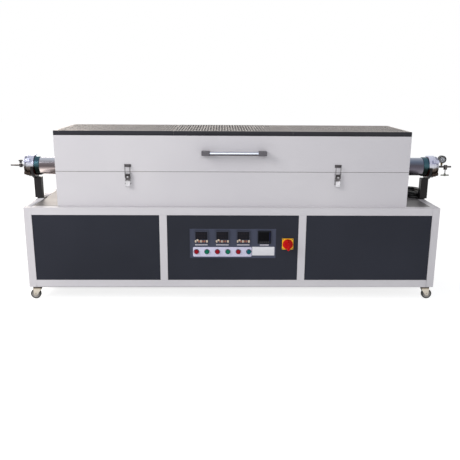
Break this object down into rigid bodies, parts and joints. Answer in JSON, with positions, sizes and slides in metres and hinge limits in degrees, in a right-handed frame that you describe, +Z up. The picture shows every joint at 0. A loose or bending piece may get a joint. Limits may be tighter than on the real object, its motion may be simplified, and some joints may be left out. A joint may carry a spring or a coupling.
{
  "type": "tube furnace",
  "caption": "Three-zone split tube furnace on a wheeled cabinet, with a hinged lid, a steel work tube between sealed flanges and a front control panel.",
  "frame": {"origin": "on the floor, midway between the gas pipe ends, and midway between the front of the isolator knob and the rear of the cabinet", "axes": "+X along the work tube towards the pressure gauge, +Y from the control panel to the back, +Z up"},
  "size_m": [2.48, 0.585, 0.917],
  "materials": {
    "white_paint": "smooth satin paint",
    "dark_panel": "fine matt paint",
    "deck_sheet": "matt paint",
    "power_aluminium": "extruded",
    "plate_blue_grey": "fine matt paint",
    "instrument_black": "moulded",
    "bezel_chrome": "plated",
    "yellow_plastic": "moulded",
    "red_plastic": "moulded",
    "red_lens": "moulded",
    "green_lens": "moulded",
    "ceramic_fibre": "vacuum-formed fibre",
    "heater_alloy": "oxidised alloy",
    "cover_grey": "perforated sheet, matt paint",
    "probe_steel": "drawn",
    "handle_grey": "cast, matt",
    "handle_chrome": "polished",
    "zinc_steel": "zinc plated",
    "polished_steel": "polished stainless",
    "seal_rubber": "silicone",
    "post_black": "semi-gloss paint",
    "fitting_steel": "turned stainless",
    "knob_black": "moulded",
    "gauge_black": "satin paint",
    "caster_zinc": "zinc plated",
    "pedal_black": "moulded",
    "wheel_grey": "moulded tread",
    "gland_black": "moulded nylon",
    "cable_black": "smooth jacket"
  },
  "bodies": {
    "base": {"button_bezels": "bezel_chrome", "cabinet_panels": "dark_panel", "cable_coil": "cable_black", "cable_gland": "gland_black", "caster_plates": "caster_zinc", "control_panel": "dark_panel", "flange_rings": "polished_steel", "flange_seals": "seal_rubber", "floor_tray": "deck_sheet", "frame_tubes": "white_paint", "furnace_base_shell": "white_paint", "hinge_base_leaves": "zinc_steel", "instrument_cases": "instrument_black", "instrument_plate": "plate_blue_grey", "latch_bases": "zinc_steel", "lower_heaters": "heater_alloy", "lower_insulation": "ceramic_fibre", "power_cable": "cable_black", "power_modules": "power_aluminium", "switch_plate": "yellow_plastic", "thermocouples": "probe_steel", "top_deck": "deck_sheet", "tube_posts": "post_black", "work_tube": "polished_steel"},
    "lid": {"lid_shell": "white_paint", "upper_insulation": "ceramic_fibre", "upper_heaters": "heater_alloy", "vent_covers": "cover_grey", "handle_brackets": "handle_grey", "handle_bar": "handle_chrome", "latch_keepers": "zinc_steel", "hinge_lid_leaves": "zinc_steel"},
    "left_latch_lever": {"left_latch_lever": "zinc_steel"},
    "left_latch_bail": {"left_latch_bail": "zinc_steel"},
    "right_latch_lever": {"right_latch_lever": "zinc_steel"},
    "right_latch_bail": {"right_latch_bail": "zinc_steel"},
    "left_cap": {"left_end_cap": "polished_steel", "left_heat_plug": "ceramic_fibre", "left_gas_fitting": "fitting_steel"},
    "left_valve_knob": {"left_valve_knob": "knob_black"},
    "right_cap": {"right_end_cap": "polished_steel", "right_heat_plug": "ceramic_fibre", "right_gas_fitting": "fitting_steel", "pressure_gauge": "gauge_black"},
    "right_valve_handle": {"right_valve_handle": "fitting_steel"},
    "switch_knob": {"switch_knob": "red_plastic"},
    "left_front_fork": {"left_front_fork": "caster_zinc"},
    "right_front_fork": {"right_front_fork": "caster_zinc"},
    "left_brake_pedal": {"left_brake_pedal": "pedal_black"},
    "right_brake_pedal": {"right_brake_pedal": "pedal_black"},
    "left_front_wheel": {"left_front_wheel": "wheel_grey"},
    "right_front_wheel": {"right_front_wheel": "wheel_grey"},
    "left_rear_wheel": {"left_rear_wheel": "wheel_grey"},
    "right_rear_wheel": {"right_rear_wheel": "wheel_grey"},
    "button_1": {"button_1": "red_lens"},
    "button_2": {"button_2": "green_lens"},
    "button_3": {"button_3": "red_lens"},
    "button_4": {"button_4": "green_lens"},
    "button_5": {"button_5": "red_lens"},
    "button_6": {"button_6": "green_lens"}
  },
  "joints": [
    {"name": "lid_hinge", "type": "hinge", "parent": "base", "child": "lid", "pos_m": [0, 0.2595, 0.705], "axis": [-1, 0, 0], "range_deg": [0, 85]},
    {"name": "left_latch_throw", "type": "hinge", "parent": "base", "child": "left_latch_lever", "pos_m": [-0.552, -0.2165, 0.688], "axis": [-1, 0, 0], "range_deg": [0, 120]},
    {"name": "left_bail_swing", "type": "hinge", "parent": "left_latch_lever", "child": "left_latch_bail", "pos_m": [-0.552, -0.2215, 0.673], "axis": [-1, 0, 0], "range_deg": [-138, 0]},
    {"name": "left_cap_slide", "type": "slide", "parent": "base", "child": "left_cap", "axis": [-1, 0, 0], "range_m": [0, 0.2]},
    {"name": "right_latch_throw", "type": "hinge", "parent": "base", "child": "right_latch_lever", "pos_m": [0.552, -0.2165, 0.688], "axis": [-1, 0, 0], "range_deg": [0, 120]},
    {"name": "right_bail_swing", "type": "hinge", "parent": "right_latch_lever", "child": "right_latch_bail", "pos_m": [0.552, -0.2215, 0.673], "axis": [-1, 0, 0], "range_deg": [-138, 0]},
    {"name": "right_cap_slide", "type": "slide", "parent": "base", "child": "right_cap", "axis": [1, 0, 0], "range_m": [0, 0.2]},
    {"name": "left_valve_turn", "type": "hinge", "parent": "left_cap", "child": "left_valve_knob", "pos_m": [-1.184, 0.0225, 0.718], "axis": [0, 0, 1], "range_deg": [0, 900]},
    {"name": "right_valve_turn", "type": "hinge", "parent": "right_cap", "child": "right_valve_handle", "pos_m": [1.209, 0.0225, 0.659], "axis": [0, 0, 1], "range_deg": [0, 90]},
    {"name": "switch_turn", "type": "hinge", "parent": "base", "child": "switch_knob", "pos_m": [0.294, -0.2485, 0.3235], "axis": [0, 1, 0], "range_deg": [0, 90]},
    {"name": "button_1_press", "type": "slide", "parent": "base", "child": "button_1", "axis": [0, 1, 0], "range_m": [0, 0.003], "stiffness_N_per_m": 400},
    {"name": "button_2_press", "type": "slide", "parent": "base", "child": "button_2", "axis": [0, 1, 0], "range_m": [0, 0.003], "stiffness_N_per_m": 400},
    {"name": "button_3_press", "type": "slide", "parent": "base", "child": "button_3", "axis": [0, 1, 0], "range_m": [0, 0.003], "stiffness_N_per_m": 400},
    {"name": "button_4_press", "type": "slide", "parent": "base", "child": "button_4", "axis": [0, 1, 0], "range_m": [0, 0.003], "stiffness_N_per_m": 400},
    {"name": "button_5_press", "type": "slide", "parent": "base", "child": "button_5", "axis": [0, 1, 0], "range_m": [0, 0.003], "stiffness_N_per_m": 400},
    {"name": "button_6_press", "type": "slide", "parent": "base", "child": "button_6", "axis": [0, 1, 0], "range_m": [0, 0.003], "stiffness_N_per_m": 400},
    {"name": "left_swivel", "type": "hinge", "parent": "base", "child": "left_front_fork", "pos_m": [-1.075, -0.2025, 0.0677], "axis": [0, 0, 1], "continuous": true},
    {"name": "left_brake", "type": "hinge", "parent": "left_front_fork", "child": "left_brake_pedal", "pos_m": [-1.057, -0.2025, 0.0575], "axis": [0, 1, 0], "range_deg": [0, 12]},
    {"name": "right_swivel", "type": "hinge", "parent": "base", "child": "right_front_fork", "pos_m": [1.075, -0.2025, 0.0677], "axis": [0, 0, 1], "continuous": true},
    {"name": "right_brake", "type": "hinge", "parent": "right_front_fork", "child": "right_brake_pedal", "pos_m": [1.057, -0.2025, 0.0575], "axis": [0, -1, 0], "range_deg": [0, 12]},
    {"name": "left_front_roll", "type": "hinge", "parent": "left_front_fork", "child": "left_front_wheel", "pos_m": [-1.081, -0.2025, 0.0275], "axis": [0, 1, 0], "continuous": true},
    {"name": "right_front_roll", "type": "hinge", "parent": "right_front_fork", "child": "right_front_wheel", "pos_m": [1.081, -0.2025, 0.0275], "axis": [0, -1, 0], "continuous": true},
    {"name": "left_rear_roll", "type": "hinge", "parent": "base", "child": "left_rear_wheel", "pos_m": [-1.075, 0.2475, 0.0275], "axis": [0, 1, 0], "continuous": true},
    {"name": "right_rear_roll", "type": "hinge", "parent": "base", "child": "right_rear_wheel", "pos_m": [1.075, 0.2475, 0.0275], "axis": [0, 1, 0], "continuous": true}
  ],
  "couplings": [
    {"joint": "left_bail_swing", "follows": "left_latch_throw", "ratio": -1.15},
    {"joint": "right_bail_swing", "follows": "right_latch_throw", "ratio": -1.15}
  ]
}
